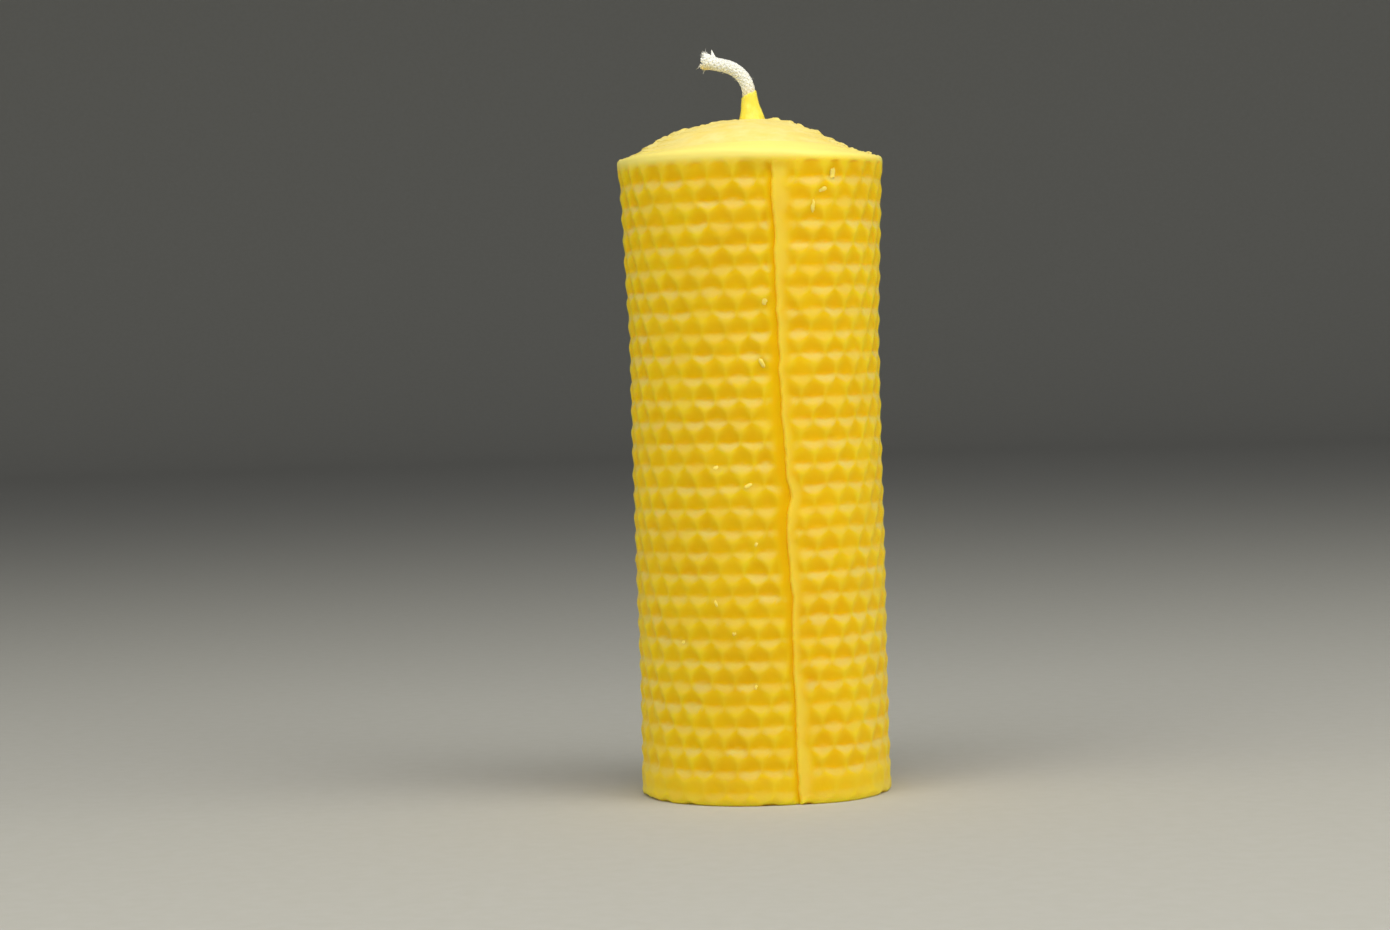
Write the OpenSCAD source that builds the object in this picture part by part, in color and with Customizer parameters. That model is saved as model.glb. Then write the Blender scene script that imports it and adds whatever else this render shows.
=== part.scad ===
// Honeycomb pillar candle, rolled from embossed beeswax sheets round a braided cotton wick.
// Millimetres, +Z up. The candle stands on z = 0, with the centre of its roll on the Z axis.
// The sheets are wound end to end in one spiral. The outer end of the roll is the upright seam.
// The sheets' top edge is cut on a straight slant before rolling, so the top of the roll is a dome.

/* [Roll] */
// Mean diameter of the roll over the cell walls
candle_d = 55; // [50:0.5:62]
// Mean diameter at the rim, where the hand-rolled top is slacker
rim_d = 58.3; // [55:0.1:66]
// Height at which the roll starts to widen towards the rim
flare_z = 101; // [80:1:115]
// Height of the sheets at the wick
eye_z = 148; // [140:1:180]
// Fall of the slanting top cut from the wick to the outer end
top_fall = 9.4; // [4:0.2:14]
// How far the wick stands to the right of the roll's centre
eye_shift = 1.6; // [0:0.1:3]
// Direction of the seam, seen from above and counted from the X axis
seam_angle = -77.5; // [-180:0.5:180]

/* [Sheet] */
// Radial pitch of one turn of sheet
turn_pitch = 2.6; // [2:0.05:3]
// Air gap between neighbouring turns
turn_gap = 0.12; // [0.1:0.01:0.3]
// Length of the whole sheet that goes round the wick
sheet_len = 395; // [300:5:450]
// Turns made by the part sheet on the outside, with its lap
lap_turns = 1.2; // [1.1:0.05:1.5]
// Thickness of the sheet's first edge, pressed thin against the wick
eye_edge = 0.5; // [0.3:0.1:1]
// Softened corner along the top and bottom edge of the outer sheet
edge_soft = 0.8; // [0.3:0.1:1.2]
// Share of the dome's fall that lies in steps between the turns, instead of along their top edges
step_share = 0.5; // [0:0.05:1]

/* [Cells] */
// Width of a cell across its flats
cell_w = 5.4; // [4.8:0.05:6]
// Depth of a cell below its walls
cell_depth = 1.15; // [0.4:0.05:1.4]
// How far the lower of the two kinds of wall corner dips
corner_dip = 0.55; // [0:0.05:0.7]
// How far the deepest point of a cell lies below its middle, as a share of the cell's side
floor_drop = 0.36; // [0:0.02:0.5]
// Height of the lowest wall corner above the base
first_corner_z = 0.6; // [0.4:0.1:2]

/* [Wick] */
// Diameter of the braided wick
wick_d = 3; // [2:0.1:4]
// Clearance between the wick and the wax round it
wick_clear = 0.1; // [0.05:0.01:0.2]
// Height of the wick's lower end above the base
wick_foot_z = 1; // [0.5:0.5:5]
// Straight length of bare wick between the lower side of its wax sleeve and its bend
wick_bare = 1; // [0.5:0.1:6]
// Radius of the wick's bend, to its middle
bend_r = 6.5; // [4:0.5:10]
// Angle that the wick turns through
bend_angle = 76; // [30:1:90]
// Length of wick between the bend and the frayed end
wick_reach = 3.3; // [1:0.1:8]
// Length of the frayed end
fray_len = 2.4; // [1:0.1:4]
// Diameter of the frayed end at the cut
fray_d = 4.2; // [3:0.1:6]

/* [Wax collar] */
// Spread of the melted wax past the sleeve, where it sits on the dome
collar_spread = 0.95; // [0.4:0.05:2]
// Wall of the wax sleeve round the wick
collar_wall = 0.3; // [0.2:0.05:0.6]
// Height of the sleeve at its taller side
collar_h = 6.4; // [5:0.1:9]
// Height of the spreading foot of the collar
collar_foot_h = 3.6; // [1:0.1:4]
// Slant of the sleeve's upper end
collar_slant = 26; // [0:1:35]

/* [Hidden] */
outer_wax = "#F0B923";
middle_wax = "#E8AE1C";
inner_wax = "#DFA315";
collar_wax = "#F4CC4A";
cotton = "#F3EEDD";
round_fn = 48;
foot_steps = 8;
bend_steps = 8;
wick_sides = 12;

roll_r = (candle_d + turn_pitch) / 2;
eye_r = wick_d / 2 + wick_clear;
turns = (roll_r + turn_gap - eye_r) / turn_pitch;
first_turn = (eye_edge + turn_gap) / turn_pitch;
rim_z = dome(roll_r);

// A cell is a hexagon with a corner at its top. Its corners and its centre lie on upright lines that
// are half a cell apart, and follow each other along a line at one cell side.
cell_side = cell_w / sqrt(3);
facets_per_turn = round(PI * candle_d / cell_w);
lines_per_turn = 2 * facets_per_turn;
line_corners = floor((rim_z - edge_soft / 2 - first_corner_z) / cell_side) + 1;

// Facets are counted from the seam inwards, so neighbouring turns have theirs in line
outer_facets = round(lap_turns * facets_per_turn);
eye_facets = floor((turns - first_turn) * facets_per_turn);
inner_turns = (sqrt(sheet_len * turn_pitch / PI + eye_r * eye_r) - eye_r) / turn_pitch;
inner_facets = round((turns - inner_turns) * facets_per_turn);

wick_x = eye_shift * (1 - eye_r / roll_r);
sleeve_r = eye_r + collar_wall;
sleeve_low = collar_h - 2 * sleeve_r * tan(collar_slant);
bend_z = eye_z + sleeve_low + wick_bare;

// The spiral: t counts turns from the wick outwards, and ends at the seam. A face lies one gap clear
// of the turn before it, and the first turn is pressed thin, so that it closes round the wick.
function angle_at(t) = seam_angle + 360 * (turns - t);
function inner_face(t) = eye_r + turn_pitch * max(0, t - 1);
function outer_face(t) = eye_r + turn_pitch * t - turn_gap;

// Height of the slanting cut where the sheet lies at radius r: the length rolled up grows as r squared
function dome(r) = eye_z - top_fall * pow(r / roll_r, 2);

// Height of a turn's own top edge at radius r: flatter than the dome, about the middle of the turn
function edge_z(t, r) =
    let (middle = (inner_face(t) + outer_face(t)) / 2)
    dome(middle + (1 - step_share) * (r - middle));

// Widening of the slack top of the roll, as a factor on the radius
function flare(z) = 1 + (rim_d / candle_d - 1) * max(0, z - flare_z) / (rim_z - flare_z);

// A point of the roll at turn t, radius r and height z, sunk into the sheet by a depth
function rolled(t, r, z, sunk = 0) =
    let (wide = r * flare(z) - sunk, off = eye_shift * (1 - r / roll_r))
    [off + wide * cos(angle_at(t)), wide * sin(angle_at(t)), z];

// Triangles of a quad whose corners run a, b on one ring and c, d on the next
function quad(a, b, c, d) = [[a, b, d], [a, d, c]];
function turned(faces, back) = [for (f = faces) back ? [f[0], f[2], f[1]] : f];

// A solid skinned over a row of closed rings that have the same number of points
module skin(rings) {
    size = len(rings[0]);
    last = len(rings) - 1;
    sides = [for (s = [0:last - 1], k = [0:size - 1])
        let (here = s * size, next = here + size, beside = (k + 1) % size)
        each quad(here + k, here + beside, next + k, next + beside)];
    near_end = [for (k = [size - 1:-1:0]) k];
    far_end = [for (k = [0:size - 1]) last * size + k];
    polyhedron([for (ring = rings) each ring], concat(sides, [near_end, far_end]));
}

// A plain stretch of rolled sheet between two facets
module plain_sheet(first, last) {
    skin([for (facet = [first:last])
        let (t = turns - facet / facets_per_turn, inner = inner_face(t), outer = outer_face(t))
        [
            rolled(t, inner, 0), rolled(t, outer, 0), rolled(t, outer, flare_z),
            rolled(t, outer, edge_z(t, outer)), rolled(t, inner, edge_z(t, inner)), rolled(t, inner, flare_z)
        ]]);
}

// The part sheet on the outside, with cells pressed into its outer face. Even lines hold one corner
// more than odd ones, and each corner of an odd line lies between two of the even line beside it.
// Up a line the kinds of corner repeat: high wall corner, deepest point of a cell, lower wall corner.
function corners_on(line) = line_corners - line % 2;
function corner_kind(line, k) = (k + 2 * (line % 2)) % 3;
function corner_depth(line, k) = [0, cell_depth, corner_dip][corner_kind(line, k)];
function corner_z(line, k) =
    let (drop = [0, floor_drop, 0][corner_kind(line, k)])
    first_corner_z + cell_side * (k + (line % 2) / 2 - drop);
function line_points(line) =
    let (t = turns - line / lines_per_turn, inner = inner_face(t), outer = outer_face(t))
    let (soft = outer - edge_soft)
    concat(
        [rolled(t, inner, 0), rolled(t, soft, 0)],
        [for (k = [0:corners_on(line) - 1]) rolled(t, outer, corner_z(line, k), corner_depth(line, k))],
        [rolled(t, soft, dome(outer)), rolled(t, inner, edge_z(t, inner)), rolled(t, inner, flare_z)]
    );
function line_start(line) = line * (line_corners + 5) - floor(line / 2);
function line_end(line) = line_start(line + 1) - 1;

// Triangles between an even line and the odd line beside it, seen with the even line on the left
function cell_strip(even, odd) =
    let (e = line_start(even) + 1, o = line_start(odd) + 1, n = line_corners)
    concat(
        [[e, e + 1, o], [o, e + 1, o + 1]],
        [for (k = [1:n - 1]) [e + k, e + k + 1, o + k]],
        [for (k = [1:n - 2]) [o + k, e + k + 1, o + k + 1]],
        [[e + n, e + n + 1, o + n - 1], [o + n - 1, e + n + 1, o + n]]
    );

// Triangles of the plain faces between a line and the next: top edge, inner face and bottom edge
function back_strip(here, next) =
    let (
        h = [line_end(here) - 2, line_end(here) - 1, line_end(here), line_start(here), line_start(here) + 1],
        n = [line_end(next) - 2, line_end(next) - 1, line_end(next), line_start(next), line_start(next) + 1]
    )
    [for (k = [0:3]) each quad(h[k], h[k + 1], n[k], n[k + 1])];

module outer_sheet() {
    last = lines_per_turn * outer_facets / facets_per_turn;
    points = [for (line = [0:last]) each line_points(line)];
    cells = [for (line = [0:last - 1])
        each line % 2 == 0 ? cell_strip(line, line + 1) : turned(cell_strip(line + 1, line), true)];
    backs = [for (line = [0:last - 1]) each back_strip(line, line + 1)];
    seam_end = [for (k = [line_end(0):-1:line_start(0)]) k];
    lap_end = [for (k = [line_start(last):line_end(last)]) k];
    color(outer_wax) polyhedron(points, concat(cells, backs, [seam_end, lap_end]));
}

module middle_sheet() {
    color(middle_wax) plain_sheet(outer_facets, inner_facets);
}

module inner_sheet() {
    color(inner_wax) plain_sheet(inner_facets, eye_facets);
}

// The wick runs up the eye of the roll, leans over to the left and ends in a frayed cut.
// A stop on its route holds its place across and up, its lean from upright and its diameter.
bend_stops = [for (k = [0:bend_steps]) let (lean = bend_angle * k / bend_steps)
    [bend_r * (cos(lean) - 1), bend_z + bend_r * sin(lean), lean, wick_d]];
function past_bend(length, d) =
    let (stop = bend_stops[bend_steps])
    [stop[0] - length * sin(bend_angle), stop[1] + length * cos(bend_angle), bend_angle, d];
function wick_ring(stop) =
    [for (k = [0:wick_sides - 1]) let (a = -360 * k / wick_sides, r = stop[3] / 2)
        [stop[0] + r * cos(a) * cos(stop[2]), r * sin(a), stop[1] + r * cos(a) * sin(stop[2])]];
module wick() {
    route = concat(
        [[0, wick_foot_z, 0, wick_d]], bend_stops,
        [past_bend(wick_reach, wick_d), past_bend(wick_reach + fray_len, fray_d)]
    );
    color(cotton) translate([wick_x, 0, 0]) skin([for (stop = route) wick_ring(stop)]);
}

// Wax that was melted round the wick: a spreading foot on the dome and a sleeve with a slanting end
function foot_r(h) = sleeve_r + collar_spread * pow(1 - h / collar_foot_h, 2);
module wax_collar() {
    foot = [for (k = [0:foot_steps]) let (h = collar_foot_h * k / foot_steps) [foot_r(h), h]];
    cut = 2 * (sleeve_r + collar_spread);
    color(collar_wax) translate([wick_x, 0, eye_z]) difference() {
        rotate_extrude($fn = round_fn)
            polygon(concat([[eye_r, 0]], foot, [[sleeve_r, collar_h], [eye_r, collar_h]]));
        translate([sleeve_r, 0, collar_h]) rotate([0, -collar_slant, 0])
            translate([-2 * cut, -cut, 0]) cube(2 * cut);
    }
}

outer_sheet();
middle_sheet();
inner_sheet();
wick();
wax_collar();
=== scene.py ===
# %% [markdown]
# # A honeycomb pillar candle
# This lesson dresses a rolled beeswax candle. The CAD model is loaded first and never moved.
# Every surface below is worked out in millimetres, in the CAD frame: the candle stands on
# z = 0, its height runs up z, and the photograph looks along +y.

import bpy
import numpy as np
from mathutils import Euler, Matrix, Vector


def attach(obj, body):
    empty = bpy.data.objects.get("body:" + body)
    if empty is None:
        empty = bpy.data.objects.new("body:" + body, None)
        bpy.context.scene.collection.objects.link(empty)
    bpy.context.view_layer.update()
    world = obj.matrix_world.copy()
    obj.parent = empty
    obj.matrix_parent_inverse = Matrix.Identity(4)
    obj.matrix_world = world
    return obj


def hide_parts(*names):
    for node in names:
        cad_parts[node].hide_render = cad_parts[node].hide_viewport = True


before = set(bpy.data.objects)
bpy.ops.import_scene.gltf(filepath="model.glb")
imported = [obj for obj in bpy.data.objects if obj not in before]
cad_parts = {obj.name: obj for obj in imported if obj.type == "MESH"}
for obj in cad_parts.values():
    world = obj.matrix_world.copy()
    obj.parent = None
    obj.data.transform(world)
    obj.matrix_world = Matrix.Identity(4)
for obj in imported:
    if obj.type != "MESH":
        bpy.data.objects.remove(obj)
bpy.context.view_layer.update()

MM = 0.001
TURN = 2.0 * np.pi
print("nodes", sorted(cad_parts))

# %% [markdown]
# ## The camera
# The photograph was taken from about 0.7 m away, a little above the middle of the candle, and
# its frame is rolled so that the candle leans to the left. A long lens keeps the sides nearly
# parallel. These values come from fitting the outline, so they are set once and left alone.

# %% Camera at the photograph's angle
IMAGE_WIDE = 1390
FOCAL_PX = 3180.0
SENSOR = 36.0
CLIP_START = 0.01
CAMERA_AT = (-24.2, -701.3, 95.6)
CAMERA_YAW = -0.905
# A camera looks straight down until it is pitched up by 90 degrees.
CAMERA_PITCH = 90.0 - 1.894
CAMERA_ROLL = -1.65


def linked(name, data):
    """A new object that holds the data, linked into the scene."""
    thing = bpy.data.objects.new(name, data)
    bpy.context.collection.objects.link(thing)
    return thing


camera_data = bpy.data.cameras.new("photo_camera")
camera_data.sensor_width = SENSOR
camera_data.lens = FOCAL_PX / IMAGE_WIDE * SENSOR
camera_data.clip_start = CLIP_START
camera = linked("photo_camera", camera_data)
aim = Euler(np.radians((CAMERA_PITCH, 0.0, CAMERA_YAW)), "XYZ").to_matrix().to_4x4()
roll = Matrix.Rotation(np.radians(CAMERA_ROLL), 4, "Z")
camera.matrix_world = Matrix.Translation(np.array(CAMERA_AT) * MM) @ aim @ roll
bpy.context.scene.camera = camera
print("lens in mm", round(camera_data.lens, 1))

# %% [markdown]
# ## From arrays to pieces
# Each piece is a grid of points: a function of two parameters, worked out as whole arrays. Small
# helpers turn a grid into quads and a mesh. Values that a finish needs at each point, such as how
# deep it lies in a cell, go along as attributes, so they stay with the surface.

# %% Grid and mesh helpers
SHARP = np.radians(60.0)


def grid_quads(rows, cols, wrap_rows=False, wrap_cols=False):
    """Quads of a grid stored row by row: each joins a point to its next in both directions."""
    r = np.arange(rows if wrap_rows else rows - 1)[:, None]
    c = np.arange(cols if wrap_cols else cols - 1)[None, :]
    down, right = (r + 1) % rows, (c + 1) % cols
    corners = [r * cols + c, r * cols + right, down * cols + right, down * cols + c]
    return np.stack([np.broadcast_to(k, (r.size, c.size)) for k in corners], -1).reshape(-1, 4)


def smooth_object(name, points, faces, material):
    """An object of points in metres and faces of any size, shaded smooth, with one material."""
    mesh = bpy.data.meshes.new(name)
    mesh.from_pydata(points.tolist(), [], faces)
    mesh.polygons.foreach_set("use_smooth", np.ones(len(mesh.polygons), bool))
    mesh.materials.append(material)
    return linked(name, mesh)


def candle_piece(name, points, faces, material, slot, stands_for=(), **values):
    """A smooth object from points in millimetres, with its values as attributes, riding the root body.
    Edges that turn by more than SHARP stay sharp."""
    piece = smooth_object(name, points * MM, faces, material)
    for key, value in values.items():
        attribute = piece.data.attributes.new(key, "FLOAT", "POINT")
        attribute.data.foreach_set("value", np.ravel(value).astype(np.float32))
    piece.data.update()
    piece.data.set_sharp_from_angle(angle=SHARP)
    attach(piece, "root")
    if stands_for:
        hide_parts(*stands_for)
    low, high = points.min(0).round(2), points.max(0).round(2)
    print(name, len(points), "points", len(faces), "faces, from", low.tolist(), "to", high.tolist())


print("quads of a ring of 3 by 4 points", len(grid_quads(3, 4, wrap_cols=True)))

# %% [markdown]
# ## Uneven wax
# Warm hands press a rolled candle a little out of true. A value noise gives that: random numbers
# on a square lattice, blended smoothly between lattice points. The seeds are fixed, so each run
# gives the same candle.

# %% Smooth noise
def smooth_step(x, low, high):
    """0 at low, 1 at high, and 3t^2 - 2t^3 between. With low above high, it falls instead of rising."""
    t = np.clip((np.asarray(x, float) - low) / (high - low), 0.0, 1.0)
    return t * t * (3.0 - 2.0 * t)


def soft_noise(a, b, seed, size=64):
    """Value noise from -1 to 1: the four lattice values round (a, b), mixed by smooth steps. It repeats
    after size steps, so a noise of eight steps a turn and size 8 meets itself after one turn."""
    table = np.random.default_rng(seed).uniform(-1.0, 1.0, (size, size))
    a, b = np.broadcast_arrays(np.asarray(a, float), np.asarray(b, float))
    i, j = np.floor(a).astype(int), np.floor(b).astype(int)
    u, v = smooth_step(a - i, 0.0, 1.0), smooth_step(b - j, 0.0, 1.0)
    near = table[i % size, j % size] * (1 - v) + table[i % size, (j + 1) % size] * v
    far = table[(i + 1) % size, j % size] * (1 - v) + table[(i + 1) % size, (j + 1) % size] * v
    return near * (1 - u) + far * u


def bell(x, middle, wide, power=2):
    """1 at the middle, fading to both sides: e to the minus (distance over width) to the power."""
    return np.exp(-((x - middle) / wide) ** power)


print("noise along a line", soft_noise(np.arange(4) * 0.5, 0.5, 1).round(2).tolist())

# %% [markdown]
# ## The roll
# The candle is sheet wax rolled round its wick. The outer face of the sheet follows a spiral that
# loses one thickness a turn, counted here inwards from the cut end that shows on the front. Nested
# rings would be simpler, but only a spiral gives the step at the seam. The top falls away from the
# wick in a parabola, and the upper quarter flares where the turns opened.

# %% Spiral, dome and flare
ROLL_R = 28.8
SHEET_PITCH = 2.6
TURN_GAP = 0.12
EYE_R = 1.6
EYE_Z = 148.0
TOP_FALL = 9.4
EYE_SHIFT = 1.6
FLARE_Z = 101.0
FLARE_GAIN = 58.3 / 55.0 - 1.0
SEAM = np.radians(-77.5)
RIM_Z = EYE_Z - TOP_FALL
ALL_TURNS = (ROLL_R + TURN_GAP - EYE_R) / SHEET_PITCH


def angle_at(turns_in):
    """Angle about the eye: one whole turn for each turn inwards, counted from the seam."""
    return SEAM + TURN * turns_in


def dome(radius):
    """Height of the top: the eye's height less the fall times the square of the radius share."""
    return EYE_Z - TOP_FALL * (radius / ROLL_R) ** 2


def outer_face(turns_in):
    """Radius of a turn's outer face: one sheet pitch less for each turn inwards."""
    return ROLL_R - SHEET_PITCH * turns_in


def inner_face(turns_in):
    """Radius of a turn's inner face: the next turn's outer face plus the gap, or the eye."""
    return np.maximum(ROLL_R + TURN_GAP - SHEET_PITCH * (turns_in + 1.0), EYE_R)


def on_roll(turns_in, radius, height):
    """A point of the roll: polar about an eye that shifts sideways, widened by the flare."""
    angle = angle_at(turns_in)
    wide = radius * (1.0 + FLARE_GAIN * np.maximum(0.0, height - FLARE_Z) / (RIM_Z - FLARE_Z))
    side = EYE_SHIFT * (1.0 - radius / ROLL_R)
    return np.stack(np.broadcast_arrays(side + wide * np.cos(angle), wide * np.sin(angle), height), -1)


print("turns", round(ALL_TURNS, 2), "rim height", RIM_Z)

# %% [markdown]
# ## Node helper and colours
# Colours are given as sRGB hex values, as a paint chart would, and one function makes them linear.
# One helper adds a shader node with its settings and its links, so that every material below is a
# short list of what feeds what.

# %% Colour and node helpers
def linear(hex_colour):
    """sRGB hex to linear: the two-part sRGB curve on each channel."""
    c = np.array([int(hex_colour[k:k + 2], 16) for k in (1, 3, 5)]) / 255.0
    return (*np.where(c <= 0.04045, c / 12.92, ((c + 0.055) / 1.055) ** 2.4).tolist(), 1.0)


def add_node(material, kind, links=None, inputs=None, stops=(), **settings):
    """Adds one shader node: settings are its properties, inputs are constants, links are (node, output),
    and stops are the positions and sRGB hex colours of a colour ramp."""
    tree = material.node_tree
    node = tree.nodes.new("ShaderNode" + kind)
    for key, value in settings.items():
        setattr(node, key, value)
    for key, value in (inputs or {}).items():
        node.inputs[key].default_value = value
    for key, (source, output) in (links or {}).items():
        tree.links.new(source.outputs[output], node.inputs[key])
    for _ in stops[2:]:
        node.color_ramp.elements.new(0.5)
    for k, (position, colour) in enumerate(stops):
        node.color_ramp.elements[k].position = position
        node.color_ramp.elements[k].color = linear(colour)
    return node


def new_material(name):
    """An empty node material."""
    material = bpy.data.materials.new(name)
    material.use_nodes = True
    material.node_tree.nodes.clear()
    return material


print("middle grey as linear", [round(v, 3) for v in linear("#808080")])

# %% [markdown]
# ## Pressed beeswax
# Beeswax is rolled warm between engraved rollers, which leaves a satin skin. Light enters it and
# comes out again a millimetre or two away, redder the further it went, so hollows glow golden
# orange and thin ridges look pale yellow. Subsurface scattering gives the glow; the colour also
# follows the depth in the cell, as a painted glow.

# %% Colour of the pressed wax
pressed_wax = new_material("beeswax_pressed_honeycomb")
place = add_node(pressed_wax, "TexCoord")
pit_value, haze_value, bloom_value = [
    add_node(pressed_wax, "Attribute", attribute_name=name) for name in ("pit", "haze", "bloom")]
# Clouds about 12 mm across: the wax was not all poured at one heat.
clouds = add_node(pressed_wax, "TexNoise", {"Vector": (place, "Object")},
                  {"Scale": 1.0 / (12 * MM), "Detail": 3.0})
# Painted glow: the hollows are drawn more orange than the ridges, standing in for light that the wax
# scatters into them.
depth_ramp = add_node(pressed_wax, "ValToRGB", {"Fac": (pit_value, "Fac")},
                      stops=((0.0, "#F8D630"), (0.3, "#F9CE10"), (0.65, "#FBC600"), (1.0, "#F6B300")))
cloud_ramp = add_node(pressed_wax, "ValToRGB", {"Fac": (clouds, "Fac")},
                      stops=((0.3, "#F6F1E2"), (0.7, "#FFFFFF")))
clouded = add_node(pressed_wax, "Mix",
                   {"A": (depth_ramp, "Color"), "B": (cloud_ramp, "Color")}, {"Factor": 1.0},
                   data_type="RGBA", blend_type="MULTIPLY")
# Painted sheen and shade on the ledges of the cells: much paler in blue, as the lamp above mirrored in
# them, and a little darker than the gold in red, so that the ledges, which catch more light than the
# hollows, look greyer and not brighter.
hazed = add_node(pressed_wax, "Mix",
                 {"Factor": (haze_value, "Fac"), "A": (clouded, "Result")},
                 {"B": linear("#E6CA6E")}, data_type="RGBA")
# Bloom, the pale film that handled edges of beeswax take on, with a painted highlight on the rim and the
# strip right of the cut.
bloomed = add_node(pressed_wax, "Mix",
                   {"Factor": (bloom_value, "Fac"), "A": (hazed, "Result")},
                   {"B": linear("#FFEC84")}, data_type="RGBA")
print(pressed_wax.name, len(pressed_wax.node_tree.nodes), "colour nodes")

# %% Skin and glow of the pressed wax
WAX_IOR = 1.44
WAX_RADIUS = (1.0, 0.65, 0.15)
WAX_SCATTER = 2.4 * MM

# Grain about 0.9 mm across, as the roller's skin: real grain is finer, drawn coarser to show.
grain = add_node(pressed_wax, "TexNoise", {"Vector": (place, "Object")},
                 {"Scale": 1.0 / (0.9 * MM), "Detail": 4.0})
skin = add_node(pressed_wax, "Bump", {"Height": (grain, "Fac")},
                {"Strength": 0.25, "Distance": 0.12 * MM})
satin = add_node(pressed_wax, "MapRange", {"Value": (grain, "Fac")},
                 {"To Min": 0.30, "To Max": 0.48})
# Trimmed edges are full of fine cracks, which scatter light at the surface: no glow is left there.
glow = add_node(pressed_wax, "MapRange", {"Value": (bloom_value, "Fac")},
                {"To Min": 0.9, "To Max": 0.0})
pressed_shader = add_node(pressed_wax, "BsdfPrincipled",
                          {"Base Color": (bloomed, "Result"), "Roughness": (satin, "Result"),
                           "Normal": (skin, "Normal"), "Subsurface Weight": (glow, "Result")},
                          {"IOR": WAX_IOR, "Specular IOR Level": 0.2,
                           "Subsurface Radius": WAX_RADIUS, "Subsurface Scale": WAX_SCATTER})
add_node(pressed_wax, "OutputMaterial", {"Surface": (pressed_shader, "BSDF")})
print(pressed_wax.name, len(pressed_wax.node_tree.nodes), "nodes")

# %% [markdown]
# ## The honeycomb relief
# The rollers press a lattice of six-sided hollows, 5.4 mm across, with two flats upright. They
# could be modelled one by one and copied, but the lattice has to run round a spiral. A depth that
# depends only on the place on the flat sheet can be carried to any surface, so it is a function.

# %% Place in the lattice
CELLS_PER_TURN = 31.5
CELL_W = 5.4
CELL_SIDE = CELL_W / np.sqrt(3.0)
ROW_STEP = 1.5 * CELL_SIDE
FIRST_ROW_Z = 0.6 + CELL_SIDE
ROWS = 29
FIRST_CELL = 0.66


def row_shift(row):
    """Odd rows have their centres on whole columns, even rows half a column on."""
    return 0.5 * ((row + 1) % 2)


def cell_offset(column, height, row):
    """Place of a point about its row's nearest cell centre, in mm, and that centre's column."""
    centre = np.round(column - row_shift(row)) + row_shift(row)
    return (column - centre) * CELL_W, height - FIRST_ROW_Z - row * ROW_STEP, centre


def hex_share(x, y):
    """0 at a cell's centre and 1 on its sides: the largest distance across flats, over half the width."""
    return np.maximum(np.abs(x), 0.5 * np.abs(x) + np.sqrt(0.75) * np.abs(y)) / (0.5 * CELL_W)


def nearest_cell(column, height):
    """Place of a point in the cell that holds it: x and y from the centre in mm, column and row. It is
    the cell of smaller share among the nearest ones of two neighbouring rows."""
    below = np.floor((height - FIRST_ROW_Z) / ROW_STEP)
    lower = cell_offset(column, height, below)
    upper = cell_offset(column, height, below + 1)
    in_lower = hex_share(*lower[:2]) < hex_share(*upper[:2])
    x, y, centre = (np.where(in_lower, a, b) for a, b in zip(lower, upper))
    return x, y, centre, np.where(in_lower, below, below + 1)


print("cell side in mm", round(CELL_SIDE, 3), "row step", round(ROW_STEP, 3))

# %% Shape of one cell
CELL_DEPTH = 0.85
CORNER_DIP = 0.35
LOW_LINE = 0.22 * CELL_SIDE
ACROSS_POWER, UP_POWER, DOWN_POWER = 3.4, 2.0, 1.4
RIDGE_ROUND = 0.18
CORNER_ROUND = 1.3


def ridge_dip(x, y):
    """How far a side of the hexagon dips: nothing at the lowest and the two upper side corners, most at
    the other three, a smooth step between. It follows the reach towards the nearest high corner."""
    reach = np.maximum(-y, 0.5 * y + np.sqrt(0.75) * np.abs(x)) / CELL_SIDE
    return CORNER_DIP * smooth_step(reach, 1.0, 0.5)


def cell_bowl(x, y):
    """Depth inside one cell, deepest along a level line below its middle. Two shares lead to the sides:
    across, the distance from the upright middle line over half the width; and up or down, the distance
    from the low line over that line's own distance to the slanted sides, whose corners are rounded off.
    The depth is the product of what powers of the shares leave, rounded off near zero, plus the dip of
    the ridge behind the point."""
    fall = y + LOW_LINE
    across = np.minimum(np.abs(x) / (0.5 * CELL_W), 1.0)
    slanted = CELL_SIDE - np.hypot(x, CORNER_ROUND) / np.sqrt(3.0)
    up = np.where(fall > 0.0, fall / (slanted + LOW_LINE), -fall / (slanted - LOW_LINE))
    up = np.clip(up, 0.0, 1.0)
    steep = np.where(fall > 0.0, UP_POWER, DOWN_POWER)
    left = (1.0 - across ** ACROSS_POWER) * (1.0 - up ** steep)
    rounded = np.hypot(left, RIDGE_ROUND) - RIDGE_ROUND
    to_side = np.clip(np.maximum(across, up), 1e-3, 1.0)
    return CELL_DEPTH * rounded + ridge_dip(x / to_side, fall / to_side - LOW_LINE) * (1.0 - left)


print("depth at the middle of a cell in mm", cell_bowl(0.0, 0.0).round(2))

# %% Relief of the whole sheet
# Width in mm of the push sideways and upwards, then steps a cell, mm a step and seed of each noise.
WOBBLE = 0.34
SIDE_NOISE, RISE_NOISE = (1.7, 3.1, 12), (1.9, 2.7, 13)
LOWEST_PRESS = 0.45
# How much luck changes a cell's depth and painted ledge sheen, and how far in from its sides it is at its
# full.
LUCK_DEPTH, LUCK_SHEEN, LUCK_FADE = 0.2, 0.4, 0.4
LUCK_COLUMNS = 64
# Between which mm under and over the centre the painted ledge sheen comes and goes, and its loss at the flat
# sides.
LEDGE_SHEEN_MOST = 0.7
LEDGE_TOP, LEDGE_FOOT, LEDGE_ENDS = (0.5, 1.3), (-3.3, -1.7), 0.7
cell_luck = np.random.default_rng(11).uniform(-1.0, 1.0, (ROWS + 2, LUCK_COLUMNS))


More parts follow.
